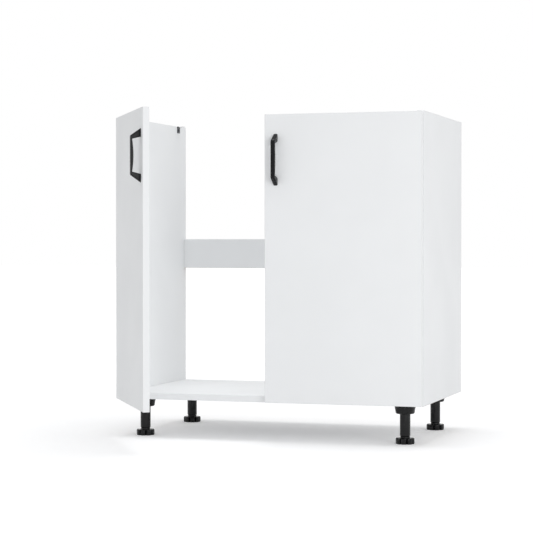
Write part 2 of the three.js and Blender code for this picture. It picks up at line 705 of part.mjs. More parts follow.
function mountingPlate(side, z) {
  const face = SIDE_THICKNESS + BOARD_CLEARANCE;
  const back = -ARM_LENGTH + 3;
  const front = -PLATE_SETBACK + 12;
  const slab = upright(planShape(side, [
    [face, back], [face + PLATE_THICKNESS, back], [face + PLATE_THICKNESS, front], [face, front],
  ]), z - PLATE_HALF_WIDTH, z + PLATE_HALF_WIDTH);
  const wingEnd = PLATE_SCREW_SPACING / 2 + PLATE_END;
  const wings = upright(planShape(side, [
    [face, -PLATE_SETBACK - PLATE_WING / 2],
    [face + PLATE_THICKNESS, -PLATE_SETBACK - PLATE_WING / 2],
    [face + PLATE_THICKNESS, -PLATE_SETBACK + PLATE_WING / 2],
    [face, -PLATE_SETBACK + PLATE_WING / 2],
  ]), z - wingEnd, z + wingEnd);
  const ridgeTop = ARM_TOP - ARM_WALL - CLEARANCE;
  const ridgeHalf = ARM_INNER_HALF_WIDTH - CLEARANCE;
  const ridge = upright(planShape(side, [
    [face, back + 2], [ridgeTop, back + 4], [ridgeTop, front - 3], [face, front],
  ]), z - ridgeHalf, z + ridgeHalf);
  const holes = [-1, 1].map((end) => {
    const [x, y] = plan(side, [face, -PLATE_SETBACK]);
    const hole = revolveX(rod(PLATE_SCREW_RADIUS, -4, 4), SIDES_PIN);
    return hole.translate(x, y, z + end * PLATE_SCREW_SPACING / 2);
  });
  return cut(join(slab, wings, ridge), ...holes);
}

// Outer link: two cranked cheeks outside the arm, joined by the pin in its knee.
function outerLink(side, z) {
  const [knee, bend, cup] = [OUTER_FIXED_PIVOT, OUTER_BEND, OUTER_CUP_PIVOT]
    .map((point) => plan(side, point));
  const eye = PIN_RADIUS + LINK_EYE_WALL;
  const outline = crank(knee, bend, cup, eye, eye, OUTER_LINK_WIDTH / 2);
  const stubEnd = bossReach(OUTER_CUP_PIVOT) - CLEARANCE;
  const stubReach = (stubEnd - LEG_INNER_HALF_WIDTH) / 2;
  const cheeks = [-1, 1].flatMap((end) => {
    const faces = [end * LEG_INNER_HALF_WIDTH, end * LEG_OUTER_HALF_WIDTH];
    const stubMiddle = z + end * (LEG_INNER_HALF_WIDTH + stubReach);
    return [
      upright(outline, z + Math.min(...faces), z + Math.max(...faces)),
      pin(side, OUTER_CUP_PIVOT, PIN_RADIUS, stubReach, stubMiddle),
    ];
  });
  const axle = pin(side, OUTER_FIXED_PIVOT, PIN_RADIUS, LEG_OUTER_HALF_WIDTH + 0.6, z);
  return join(axle, ...cheeks);
}

// Inner link: a cranked bar inside the arm. Its eye is wide, because its own
// path and the door's agree only to INNER_EYE_TRAVEL about the nose pin.
function innerLink(side, z) {
  const reach = ARM_INNER_HALF_WIDTH - CLEARANCE;
  const eyeHole = PIN_RADIUS + INNER_EYE_TRAVEL + CLEARANCE;
  const [nose, bend, cup] = [INNER_FIXED_PIVOT, INNER_BEND, INNER_CUP_PIVOT]
    .map((point) => plan(side, point));
  const noseEye = eyeHole + INNER_EYE_WALL;
  const cupEye = PIN_RADIUS + LINK_EYE_WALL;
  const outline = crank(nose, bend, cup, noseEye, cupEye, INNER_LINK_WIDTH / 2);
  const bar = join(
    upright(outline, z - reach, z + reach),
    pin(side, INNER_CUP_PIVOT, PIN_RADIUS, bossReach(INNER_CUP_PIVOT) - CLEARANCE, z),
  );
  return cut(bar, pin(side, INNER_FIXED_PIVOT, eyeHole, reach + 1, z));
}

// ---- assembly -----------------------------------------------------------------

// A group that turns by `degrees` about an upright axis at a plan point, and
// whose children keep their places when it isn't turned.
function pivot(side, point, degrees) {
  const [x, y] = plan(side, point);
  const axis = new THREE.Group();
  axis.position.set(x, y, 0);
  axis.rotation.z = side * THREE.MathUtils.degToRad(degrees);
  const inner = new THREE.Group();
  inner.position.set(-x, -y, 0);
  axis.add(inner);
  return { axis, inner };
}

const cabinet = new THREE.Group();

for (const [word, side] of Object.entries(SIDES)) {
  cabinet.add(named(`side_panel_${word}`, sidePanel(side), WHITE_BOARD));
  cabinet.add(named(`worktop_bracket_${word}`, worktopBracket(side), BRACKET_STEEL));

  const camX = side * (INNER_HALF_WIDTH - CAM_FROM_END);
  const boltX = side * INNER_HALF_WIDTH;
  for (const [row, y] of Object.entries(CAM_ROWS)) {
    const drum = named(`bottom_cam_${word}_${row}`, cam(side, BOTTOM_THICKNESS / 2), CAST_ZINC);
    drum.position.set(camX, y, CARCASS_BOTTOM);
    drum.rotation.x = Math.PI / 2;
    const stem = named(`bottom_bolt_${word}_${row}`, bolt(side), BRIGHT_STEEL);
    stem.position.set(boltX, y, BOTTOM_BOLT_Z);
    cabinet.add(drum, stem);
  }
  const railCam = named(`rail_cam_${word}`, cam(side, RAIL_THICKNESS / 2), CAST_ZINC);
  railCam.position.set(camX, SIDE_DEPTH, RAIL_MIDDLE);
  railCam.rotation.x = Math.PI;
  const railBolt = named(`rail_bolt_${word}`, bolt(side), BRIGHT_STEEL);
  railBolt.position.set(boltX, RAIL_BOLT_Y, RAIL_MIDDLE);
  cabinet.add(railCam, railBolt);

  const legX = side * (HALF_WIDTH - LEG_SIDE_INSET);
  const legRows = { front: LEG_FRONT_SETBACK, rear: SIDE_DEPTH - LEG_REAR_SETBACK };
  for (const [row, y] of Object.entries(legRows)) {
    const pieces = [
      named(`leg_socket_${word}_${row}`, legSocket(), BLACK_PLASTIC),
      named(`leg_tube_${word}_${row}`, legTube(), BLACK_PLASTIC),
      named(`leg_foot_${word}_${row}`, legFoot(), BLACK_PLASTIC),
    ];
    for (const piece of pieces) {
      piece.position.set(legX, y, 0);
      cabinet.add(piece);
    }
  }

  // The door's path: the outer link turns about the arm's knee, and the door
  // turns about the end of the outer link. The inner link turns about the cup.
  const angle = side === SIDES.left ? LEFT_DOOR_OPEN_DEG : 0;
  const outer = pivot(side, OUTER_FIXED_PIVOT, OUTER_TURN_RATIO * angle);
  const swing = pivot(side, OUTER_CUP_PIVOT, (1 - OUTER_TURN_RATIO) * angle);
  const inner = pivot(side, INNER_CUP_PIVOT, (INNER_TURN_RATIO - 1) * angle);
  cabinet.add(outer.axis);
  outer.inner.add(swing.axis);
  swing.inner.add(inner.axis);

  swing.inner.add(named(`${word}_door`, door(side), WHITE_BOARD));
  swing.inner.add(named(`${word}_handle`, handle(side), DARK_METAL));
  swing.inner.add(named(`${word}_door_bumper`, bumper(side), CLEAR_RUBBER));
  for (const offset of HANDLE_HOLES) {
    const place = offset > 0 ? 'upper' : 'lower';
    const screw = named(`${word}_handle_screw_${place}`, handleScrew(side, offset), BRIGHT_STEEL);
    swing.inner.add(screw);
  }
  for (const [level, z] of Object.entries(HINGE_HEIGHTS)) {
    const tag = `${word}_${level}`;
    cabinet.add(named(`hinge_plate_${tag}`, mountingPlate(side, z), BRIGHT_STEEL));
    cabinet.add(named(`hinge_arm_${tag}`, hingeArm(side, z), BRIGHT_STEEL));
    outer.inner.add(named(`hinge_outer_link_${tag}`, outerLink(side, z), BRIGHT_STEEL));
    swing.inner.add(named(`hinge_cup_${tag}`, hingeCup(side, z), BRIGHT_STEEL));
    inner.inner.add(named(`hinge_inner_link_${tag}`, innerLink(side, z), BRIGHT_STEEL));
  }
}
cabinet.add(named('bottom_panel', bottomPanel(), WHITE_BOARD));
cabinet.add(named('rear_rail', rearRail(), WHITE_BOARD));

// Origin: the floor point under the middle of the whole object.
const object = new THREE.Group();
object.add(cabinet);
object.updateMatrixWorld(true);
const box = new THREE.Box3().setFromObject(object, true);
cabinet.position.set(-(box.min.x + box.max.x) / 2, -(box.min.y + box.max.y) / 2, -box.min.z);

export default object;
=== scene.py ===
# %% [markdown]
# # A sink base cabinet
# A sink base has no top, no back and no shelf, so that the bowl and its pipes
# can go in. What is left is two sides, a floor, one rail at the back, two doors
# on concealed hinges and four screw legs. The CAD model already holds every
# board and fitting in its right place. This lesson gives the boards their
# finish, makes finer handles, legs and screws, and lights the whole.

# %% Load the frame
import math

import bpy
import numpy as np
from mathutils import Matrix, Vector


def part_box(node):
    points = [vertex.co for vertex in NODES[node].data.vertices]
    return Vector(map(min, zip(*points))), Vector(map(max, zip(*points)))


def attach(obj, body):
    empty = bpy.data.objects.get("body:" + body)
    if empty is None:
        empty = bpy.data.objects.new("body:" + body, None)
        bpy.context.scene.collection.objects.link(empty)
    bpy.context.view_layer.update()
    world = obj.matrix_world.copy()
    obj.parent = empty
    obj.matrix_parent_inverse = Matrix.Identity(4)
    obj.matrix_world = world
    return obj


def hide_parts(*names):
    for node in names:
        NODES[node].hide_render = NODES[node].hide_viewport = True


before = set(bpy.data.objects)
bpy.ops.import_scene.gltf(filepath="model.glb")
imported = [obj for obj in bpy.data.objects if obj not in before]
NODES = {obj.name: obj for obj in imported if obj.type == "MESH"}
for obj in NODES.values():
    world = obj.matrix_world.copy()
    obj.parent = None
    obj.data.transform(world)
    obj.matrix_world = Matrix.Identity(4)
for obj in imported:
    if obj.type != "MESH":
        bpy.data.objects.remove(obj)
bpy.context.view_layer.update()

# %% [markdown]
# ## The camera
# The lens and the place of the camera were worked out from the straight edges
# of the boards: parallel edges meet at vanishing points, and these fix the
# turn, the tilt and the focal length. Turning a camera by eye would take longer
# and never settle. All lengths here are metres. The carcass is measured from
# its own front edge, so that edge's place comes first.

# %% Camera
FRONT = float(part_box("bottom_panel")[0][1])
IMAGE_WIDTH = 533
FOCAL_PIXELS = 1767.4
SENSOR = 36.0
CAMERA_X = 1.3366
CAMERA_BEFORE_FRONT = 4.1981
CAMERA_HEIGHT = 0.4945
CAMERA_TILT = 0.757
CAMERA_TURN = 17.655

scene = bpy.context.scene
lens = bpy.data.cameras.new("camera")
lens.sensor_width = SENSOR
lens.lens = SENSOR * FOCAL_PIXELS / IMAGE_WIDTH
lens.clip_end = 100.0
camera = bpy.data.objects.new("camera", lens)
camera.location = (CAMERA_X, FRONT - CAMERA_BEFORE_FRONT, CAMERA_HEIGHT)
camera.rotation_euler = (math.radians(90 - CAMERA_TILT), 0.0, math.radians(CAMERA_TURN))
scene.collection.objects.link(camera)
scene.camera = camera
scene.view_settings.view_transform = "Standard"
print("lens", round(lens.lens, 2), "mm")

# %% [markdown]
# ## Nodes by name
# A material is a small network. A few short helpers keep it readable: `put`
# adds a node and fills its sockets, with values or with links, and the others
# do sums, smooth ramps, blends of colour and noise. An effect that several
# finishes share becomes a group, and `use_group` places it. The same networks
# could be drawn by hand in the shader editor. Written down, they can be read
# from top to bottom.


# %% Node helpers
def fill(tree, node, sockets):
    """Gives each named socket of a node its value, or its link."""
    for key, value in sockets.items():
        if isinstance(value, bpy.types.NodeSocket):
            tree.links.new(value, node.inputs[key])
        else:
            node.inputs[key].default_value = value


def put(tree, kind, sockets=None, **settings):
    """Adds a shader node and fills its sockets with values or links."""
    node = tree.nodes.new("ShaderNode" + kind)
    for key, value in settings.items():
        setattr(node, key, value)
    fill(tree, node, sockets or {})
    return node


def sums(tree, operation, *values):
    """One scalar operation on up to three values or sockets."""
    return put(tree, "Math", dict(enumerate(values)), operation=operation).outputs[0]


def vectors(tree, operation, *values):
    """One operation on vectors. Its answer is a vector, or a number for a dot product."""
    node = put(tree, "VectorMath", dict(enumerate(values)), operation=operation)
    return node.outputs["Value" if operation == "DOT_PRODUCT" else "Vector"]


def ramp(tree, value, low, high, start=0.0, end=1.0):
    """Maps low..high smoothly to start..end, and stays there outside."""
    sockets = {"Value": value, "From Min": low, "From Max": high, "To Min": start, "To Max": end}
    node = put(tree, "MapRange", sockets, interpolation_type="SMOOTHSTEP")
    return node.outputs["Result"]


def blend_colours(tree, factor, first, second):
    """Colour between first and second."""
    node = put(tree, "Mix", {0: factor, 6: first, 7: second}, data_type="RGBA")
    return node.outputs[2]


def noise(tree, vector, scale, detail=2.0, roughness=0.5):
    """Soft random values from 0 to 1, about 1/scale metres across."""
    sockets = {"Vector": vector, "Scale": scale, "Detail": detail, "Roughness": roughness}
    return put(tree, "TexNoise", sockets).outputs[0]


def new_group(name, inputs, outputs):
    """An empty node group with named sockets: its tree, its inputs and its outputs."""
    tree = bpy.data.node_groups.new(name, "ShaderNodeTree")
    for side, sockets in (("INPUT", inputs), ("OUTPUT", outputs)):
        for title, kind in sockets.items():
            tree.interface.new_socket(name=title, in_out=side, socket_type="NodeSocket" + kind)
    entry = tree.nodes.new("NodeGroupInput").outputs
    leave = tree.nodes.new("NodeGroupOutput").inputs
    return tree, entry, leave


def use_group(tree, group, sockets):
    """Places a group in a material with its own values."""
    node = tree.nodes.new("ShaderNodeGroup")
    node.node_tree = group
    fill(tree, node, sockets)
    return node.outputs


# %% [markdown]
# ## What the finishes share
# Pressed and moulded surfaces have a fine grain and a slow change of gloss.
# Corners that are handled get polished or rubbed, and drawn metal has fine
# lines along it; the paler rubbed corners also carry a painted highlight. Each
# is a group, so it is built once and every finish only sets its scale. The first
# gives a height and a slow patch value, the second a mask of rubbed wear and
# painted highlight from the "edge" attribute that each new piece stores on its
# vertices, and the third a height and a haze.

# %% Grain, wear-and-highlight and streak groups
grain, entry, leave = new_group(
    "surface_grain",
    {"Vector": "Vector", "Grain Scale": "Float", "Patch Scale": "Float"},
    {"Height": "Float", "Patch": "Float"},
)
fine = noise(grain, entry["Vector"], entry["Grain Scale"], 3.0)
pits = put(
    grain,
    "TexVoronoi",
    {"Vector": entry["Vector"], "Scale": sums(grain, "MULTIPLY", entry["Grain Scale"], 0.6)},
).outputs["Distance"]
grain.links.new(sums(grain, "MULTIPLY_ADD", pits, 0.4, fine), leave["Height"])
slow = noise(grain, entry["Vector"], entry["Patch Scale"], 2.0)
grain.links.new(ramp(grain, slow, 0.3, 0.7), leave["Patch"])

# Mask of rubbed corners: real wear, and also where a painted highlight goes.
wear_and_highlight, entry, leave = new_group(
    "edge_wear_and_highlight",
    {"Vector": "Vector", "Edge": "Float", "Scale": "Float", "Amount": "Float"},
    {"Mask": "Float"},
)
broken = noise(wear_and_highlight, entry["Vector"], entry["Scale"], 4.0, 0.65)
reach = sums(wear_and_highlight, "MULTIPLY_ADD", broken, 0.5, entry["Edge"])
mask = ramp(wear_and_highlight, reach, 1.02, 1.3)
wear_and_highlight.links.new(sums(wear_and_highlight, "MULTIPLY", mask, entry["Amount"]), leave["Mask"])

streaks, entry, leave = new_group(
    "drawn_streaks",
    {"Vector": "Vector", "Across": "Vector"},
    {"Height": "Float", "Gloss": "Float"},
)
drawn = vectors(streaks, "MULTIPLY", entry["Vector"], entry["Across"])
lines = noise(streaks, drawn, 1.0, 3.0, 0.6)
streaks.links.new(lines, leave["Height"])
hazy = noise(streaks, entry["Vector"], 60.0, 2.0)
streaks.links.new(ramp(streaks, hazy, 0.35, 0.75), leave["Gloss"])
print("groups:", [tree.name for tree in bpy.data.node_groups])

# %% [markdown]
# ## Faced board
# The boards are chipboard faced with white paper in resin. The faces have a
# very fine pearl. The narrow edges carry a plastic band about a millimetre
# thick, and its glue line is a hair-fine seam near each border. Edges that
# nobody sees, at the back and underneath, are cut and left raw. Bands could be
# strips of their own. A group that finds these places from how far a point
# lies inside the board's six faces adds no mesh and fits a board of any size.

# %% Board layout and chipboard groups
BAND = 0.001
EDGE_FADE = (0.0004, 0.0009)
SEAM_FADE = (0.00008, 0.0002)
OUT_OF_THE_WAY = 10.0
CHIP_DARK = (0.27, 0.17, 0.09, 1.0)
CHIP_PALE = (0.62, 0.47, 0.3, 1.0)

layout, entry, leave = new_group(
    "board_layout",
    {"Vector": "Vector", "Half Size": "Vector", "Thickness Axis": "Vector"},
    {"Banded": "Float", "Seam": "Float", "Arris": "Float"},
)
inside = vectors(
    layout, "SUBTRACT", entry["Half Size"], vectors(layout, "ABSOLUTE", entry["Vector"])
)
# depth is measured through the thickness, and border from the nearest narrow edge:
# the push takes the two wide faces out of the smallest of the three.
depth = vectors(layout, "DOT_PRODUCT", inside, entry["Thickness Axis"])
pushed = vectors(layout, "SCALE", entry["Thickness Axis"])
pushed.node.inputs["Scale"].default_value = OUT_OF_THE_WAY
parts = put(layout, "SeparateXYZ", {0: vectors(layout, "ADD", inside, pushed)}).outputs
border = sums(layout, "MINIMUM", sums(layout, "MINIMUM", parts[0], parts[1]), parts[2])
banded = ramp(layout, depth, *EDGE_FADE)
off_seam = sums(layout, "ABSOLUTE", sums(layout, "SUBTRACT", border, BAND))
near_seam = ramp(layout, off_seam, *SEAM_FADE, 1.0, 0.0)
on_face = sums(layout, "SUBTRACT", 1.0, banded)
both = sums(layout, "MAXIMUM", depth, border)
layout.links.new(banded, leave["Banded"])
layout.links.new(sums(layout, "MULTIPLY", near_seam, on_face), leave["Seam"])
layout.links.new(ramp(layout, both, *EDGE_FADE, 1.0, 0.0), leave["Arris"])

chips, entry, leave = new_group(
    "chipboard", {"Vector": "Vector"}, {"Color": "Color", "Height": "Float"}
)
flakes = put(chips, "TexVoronoi", {"Vector": entry["Vector"], "Scale": 420.0, "Randomness": 1.0})
shade = put(chips, "SeparateXYZ", {0: flakes.outputs["Color"]}).outputs[0]
fibres = noise(chips, entry["Vector"], 1800.0, 3.0)
tone = sums(chips, "MULTIPLY_ADD", fibres, 0.35, sums(chips, "MULTIPLY", shade, 0.65))
chips.links.new(blend_colours(chips, tone, CHIP_DARK, CHIP_PALE), leave["Color"])
chips.links.new(sums(chips, "ADD", shade, fibres), leave["Height"])


# %% [markdown]
# ## Starting a material
# Every material begins the same way, with a Principled shader and the object's
# own coordinates for its patterns. A second helper turns a height into bumps.


# %% Material starter
def new_material(name, roughness, metallic=0.0, specular=0.5):
    """A material with its Principled shader and its object coordinates."""
    material = bpy.data.materials.new(name)
    material.use_nodes = True
    tree = material.node_tree
    tree.nodes.clear()
    shader = put(
        tree,
        "BsdfPrincipled",
        {"Roughness": roughness, "Metallic": metallic, "Specular IOR Level": specular},
    )
    surface = tree.nodes.new("ShaderNodeOutputMaterial").inputs["Surface"]
    tree.links.new(shader.outputs["BSDF"], surface)
    return material, tree, shader, put(tree, "TexCoord").outputs["Object"]


def relief(tree, shader, height, strength, distance):
    """Sends a height to the shader's normal, distance metres from lowest to highest."""
    sockets = {"Height": height, "Strength": strength, "Distance": distance}
    bump = put(tree, "Bump", sockets)
    tree.links.new(bump.outputs["Normal"], shader.inputs["Normal"])


# %% [markdown]
# ## The finish of one board
# One function makes the finish from the board's half size and the axis of its
# thickness, so that bands, seams and raw edges end exactly where the board
# does. The open door is turned, so its coordinates are turned back first. The
# white is a little cool, and slightly darker on the bands, as plastic is.

# %% Board material
BOARD_WHITE = (0.87, 0.88, 0.888, 1.0)
BAND_WHITE = (0.86, 0.87, 0.878, 1.0)
PATCH_WHITE = tuple(0.985 * c for c in BOARD_WHITE[:3]) + (1.0,)
SEAM_GREY = (0.55, 0.55, 0.54, 1.0)
BOARD_ROUGHNESS = (0.54, 0.62)
BOARD_SPECULAR = 0.2
BOARD_RELIEF = 0.00004
RAW_FADE = (0.0005, 0.0003)


def board_material(name, centre, half, thickness, turn, raw):
    """Faced board. Mapping brings the board back upright with its middle at 0. The
    axis that runs through the thickness is 0, 1 or 2, and raw holds the directions
    in which the edges are bare chipboard."""
    roughness = sum(BOARD_ROUGHNESS) / 2
    material, tree, shader, coords = new_material(name, roughness, specular=BOARD_SPECULAR)
    upright = put(
        tree,
        "Mapping",
        {"Vector": coords, "Location": centre, "Rotation": (0.0, 0.0, turn)},
        vector_type="TEXTURE",
    ).outputs[0]
    axis = tuple(float(i == thickness) for i in range(3))
    places = use_group(
        tree, layout, {"Vector": upright, "Half Size": half, "Thickness Axis": axis}
    )
    pearl = use_group(
        tree, grain, {"Vector": upright, "Grain Scale": 2200.0, "Patch Scale": 6.0}
    )
    faced = blend_colours(tree, pearl["Patch"], BOARD_WHITE, PATCH_WHITE)
    colour = blend_colours(tree, places["Banded"], faced, BAND_WHITE)
    colour = blend_colours(tree, sums(tree, "MULTIPLY", places["Seam"], 0.45), colour, SEAM_GREY)
    dull = sums(tree, "MULTIPLY", places["Arris"], 0.08)
    colour = blend_colours(tree, dull, colour, SEAM_GREY)
    height = sums(tree, "MULTIPLY_ADD", places["Seam"], -1.5, pearl["Height"])
    if raw:
        masks = []
        for direction in raw:
            level = sum(abs(d) * h for d, h in zip(direction, half, strict=True))
            along = vectors(tree, "DOT_PRODUCT", upright, direction)
            masks.append(ramp(tree, along, level - RAW_FADE[0], level - RAW_FADE[1]))
        bare = masks[0]
        for other in masks[1:]:
            bare = sums(tree, "MAXIMUM", bare, other)
        chip = use_group(tree, chips, {"Vector": upright})
        colour = blend_colours(tree, bare, colour, chip["Color"])
        height = sums(
            tree, "MULTIPLY_ADD", sums(tree, "MULTIPLY", bare, chip["Height"]), 3.0, height
        )
    tree.links.new(colour, shader.inputs["Base Color"])
    gloss = ramp(tree, pearl["Patch"], 0.0, 1.0, *BOARD_ROUGHNESS)
    tree.links.new(gloss, shader.inputs["Roughness"])
    relief(tree, shader, height, 0.35, BOARD_RELIEF)
    return material


# %% Boards with their finish
def finish(node, material):
    """Gives a CAD node its material."""
    slots = NODES[node].data.materials
    slots.clear()
    slots.append(material)


# Each board: the axis through its thickness, its turn, and its raw edges. The left
# door stands open, so its half size is read from the right door, which is alike.
LEFT_DOOR_OPEN = 58.5
LEFT_DOOR_TURN = math.radians(-LEFT_DOOR_OPEN)
BACK = (0.0, 1.0, 0.0)
UNDER = (0.0, 0.0, -1.0)
BOARDS = {
    "side_panel_left": (0, 0.0, (BACK, UNDER)),
    "side_panel_right": (0, 0.0, (BACK, UNDER)),
    "bottom_panel": (2, 0.0, (BACK,)),
    "rear_rail": (1, 0.0, (UNDER,)),
    "left_door": (1, LEFT_DOOR_TURN, ()),
    "right_door": (1, 0.0, ()),
}
for node, (thickness, turn, raw) in BOARDS.items():
    low, high = (np.array(corner, float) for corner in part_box(node))
    size_from = "right_door" if node == "left_door" else node
    flat_low, flat_high = (np.array(corner, float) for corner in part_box(size_from))
    half = tuple((flat_high - flat_low) / 2)
    centre = tuple((low + high) / 2)
    finish(node, board_material("faced_" + node, centre, half, thickness, turn, raw))
print("faced boards:", len(BOARDS))

# %% [markdown]
# ## Metals and plastics
# The hinges are pressed from steel strip and nickel plated: bright, with faint
# drawing marks and a slow haze. Cams are cast zinc, dull and slightly sandy.
# The brackets are steel in two tones: a blackened foot on the side panel and a
# bright flange under the worktop. Legs are black plastic with a fine
# spark-eroded texture, rubbed smoother and greyer at their corners, where the
# greyer colour is partly wear and partly a painted highlight, and the handles
# are black with a satin coat. A picture of scratches would show its
# repeats. Noise that is stretched along the strip does not.


# %% Metal materials
def metal(name, colour, dark, roughness, across, bump):
    """Drawn metal: streaks in its relief and haze in its gloss and colour."""
    material, tree, shader, coords = new_material(name, roughness, 1.0)
    marks = use_group(tree, streaks, {"Vector": coords, "Across": across})
    tint = blend_colours(tree, marks["Gloss"], colour, dark)
    tree.links.new(tint, shader.inputs["Base Color"])
    gloss = ramp(tree, marks["Gloss"], 0.0, 1.0, roughness - 0.06, roughness + 0.08)
    tree.links.new(gloss, shader.inputs["Roughness"])
    relief(tree, shader, marks["Height"], 0.3, bump)
    return material


NICKEL = metal(
    "nickel_plate",
    colour=(0.78, 0.77, 0.74, 1),
    dark=(0.66, 0.65, 0.62, 1),
    roughness=0.26,
    across=(900, 900, 9000),
    bump=2e-5,
)
ZINC = metal(
    "cast_zinc",
    colour=(0.6, 0.61, 0.62, 1),
    dark=(0.5, 0.51, 0.53, 1),
    roughness=0.42,
    across=(2600, 2600, 2600),
    bump=6e-5,
)

BRACKET_FOOT_FROM = (0.3785, 0.3795)
BRACKET_BEND_SHADE_FROM = (0.811, 0.8135)
BLACKENED = (0.085, 0.09, 0.1, 1)
# the blackest tone is painted shade for the bend under the flange
BEND_SHADE_BLACK = (0.012, 0.012, 0.014, 1)
WORN_THROUGH = (0.13, 0.13, 0.14, 1)
PLATED = (0.8, 0.8, 0.81, 1)
PLATED_DULL = (0.68, 0.68, 0.69, 1)


def bracket_steel():
    """Plated angle: its foot on the panel is blackened, and painted shade makes it darkest
    in the bend under the flange; the flange under the worktop stays bright. |x| tells the two
    apart, and z the painted shade of the bend."""
    material, tree, shader, coords = new_material("bracket_steel", 0.38, 0.5)
    place = put(tree, "SeparateXYZ", {0: coords}).outputs
    from_middle = sums(tree, "ABSOLUTE", place[0])
    foot = ramp(tree, from_middle, *BRACKET_FOOT_FROM)
    # painted shade: the foot turns blackest at its top, in the bend under the flange
    bend = ramp(tree, place[2], *BRACKET_BEND_SHADE_FROM)
    marks = use_group(tree, streaks, {"Vector": coords, "Across": (4000, 300, 4000)})
    black = blend_colours(tree, bend, BLACKENED, BEND_SHADE_BLACK)
    haze = sums(tree, "MULTIPLY", marks["Gloss"], 0.4)
    black = blend_colours(tree, haze, black, WORN_THROUGH)
    bright = blend_colours(tree, marks["Gloss"], PLATED, PLATED_DULL)
    tree.links.new(blend_colours(tree, foot, bright, black), shader.inputs["Base Color"])
    gloss = ramp(tree, marks["Gloss"], 0.0, 1.0, 0.34, 0.46)
    tree.links.new(gloss, shader.inputs["Roughness"])
    relief(tree, shader, marks["Height"], 0.3, 3e-5)
    return material


BRACKET_STEEL = bracket_steel()
print("metals:", NICKEL.name, ZINC.name, BRACKET_STEEL.name)

# %% Black and clear materials
# The paler colour at rubbed corners: partly wear, partly a painted highlight.
RUBBED_AND_HIGHLIGHT = (0.02, 0.021, 0.024, 1)
WEAR_AND_HIGHLIGHT = {"Scale": 700.0, "Amount": 0.5}


def black_finish(name, colour, roughness, specular, scale, bump):
    """Black coat or plastic: fine grain, slow gloss, and corners rubbed paler, a colour that is
    partly wear and partly painted highlight.
    """
    material, tree, shader, coords = new_material(name, roughness, specular=specular)
    skin = use_group(tree, grain, {"Vector": coords, "Grain Scale": scale, "Patch Scale": 45.0})
    edge = put(tree, "Attribute", attribute_name="edge").outputs["Fac"]
    rub_and_highlight = use_group(tree, wear_and_highlight, {"Vector": coords, "Edge": edge, **WEAR_AND_HIGHLIGHT})
    paler = tuple(1.25 * c for c in colour[:3]) + (1.0,)
    base = blend_colours(tree, skin["Patch"], colour, paler)
    # rubbed corners turn paler: wear plus a painted highlight
    base = blend_colours(tree, rub_and_highlight["Mask"], base, RUBBED_AND_HIGHLIGHT)
    tree.links.new(base, shader.inputs["Base Color"])
    gloss = ramp(tree, skin["Patch"], 0.0, 1.0, roughness - 0.04, roughness + 0.06)
    gloss = sums(tree, "MULTIPLY_ADD", rub_and_highlight["Mask"], -0.1, gloss)
    tree.links.new(gloss, shader.inputs["Roughness"])
    relief(tree, shader, skin["Height"], 0.5, bump)
    return material


HANDLE_BLACK = black_finish(
    "handle_black",
    colour=(0.0012, 0.0015, 0.0024, 1),
    roughness=0.27,
    specular=0.2,
    scale=3000.0,
    bump=6e-6,
)
LEG_BLACK = black_finish(
    "leg_plastic",
    colour=(0.0008, 0.0009, 0.0013, 1),
    roughness=0.16,
    specular=0.3,
    scale=2200.0,
    bump=3e-6,
)

CLEAR, tree, shader, coords = new_material("clear_bumper", 0.3)
soft = use_group(tree, grain, {"Vector": coords, "Grain Scale": 1500.0, "Patch Scale": 300.0})
tree.links.new(
    blend_colours(tree, soft["Patch"], (0.7, 0.74, 0.75, 1), (0.78, 0.8, 0.8, 1)),
    shader.inputs["Base Color"],
)
shader.inputs["Transmission Weight"].default_value = 0.4
relief(tree, shader, soft["Height"], 0.2, 1e-5)

# %% Fittings with their metals
FITTINGS = {
    "hinge_": NICKEL,
    "_bolt_": NICKEL,
    "_cam_": ZINC,
    "worktop_bracket": BRACKET_STEEL,
}
for node in NODES:
    for part, material in FITTINGS.items():
        if part in node:
            finish(node, material)
print("materials:", len(bpy.data.materials))

# %% [markdown]
# ## Surfaces from numpy
# Every new piece is made of grids of points: rows run along the piece, columns
# run round it. The helper joins neighbours into faces, closes the two ends with
# a fan to a pole, and turns the faces outwards if the volume comes out negative.
# A box with modifiers would also do, but a grid from a formula keeps every
# measure and is closed, as a printed or machined part has to be.


# %% Grid helper
SHARP_ANGLE = math.radians(38)


def grid_faces(rows, columns):
    """Faces of a grid: each cell is a quad, and a fan joins each end row to its pole.
    The two poles are stored after the grid."""
    row = np.arange(rows - 1)[:, None] * columns
    column = np.arange(columns)[None, :]
    right = (column + 1) % columns
    corners = [row + column, row + right, row + columns + right, row + columns + column]
    quads = np.stack(np.broadcast_arrays(*corners), -1).reshape(-1, 4)
    around, onward = column[0], right[0]
    top = (rows - 1) * columns
    poles = rows * columns + np.arange(2)
    low = np.stack([around, np.full(columns, poles[0]), onward], -1)
    high = np.stack([around + top, onward + top, np.full(columns, poles[1])], -1)
    return quads.tolist() + low.tolist() + high.tolist()


def grid_volume(points, faces):
    """Signed volume: the sum over triangles of a . (b x c) / 6."""
    triangles = [face[:3] for face in faces]
    triangles += [[face[0], face[2], face[3]] for face in faces if len(face) == 4]
    a, b, c = (points[np.array(triangles)[:, k]] for k in range(3))
    return float(np.einsum("ij,ij->i", a, np.cross(b, c)).sum() / 6)


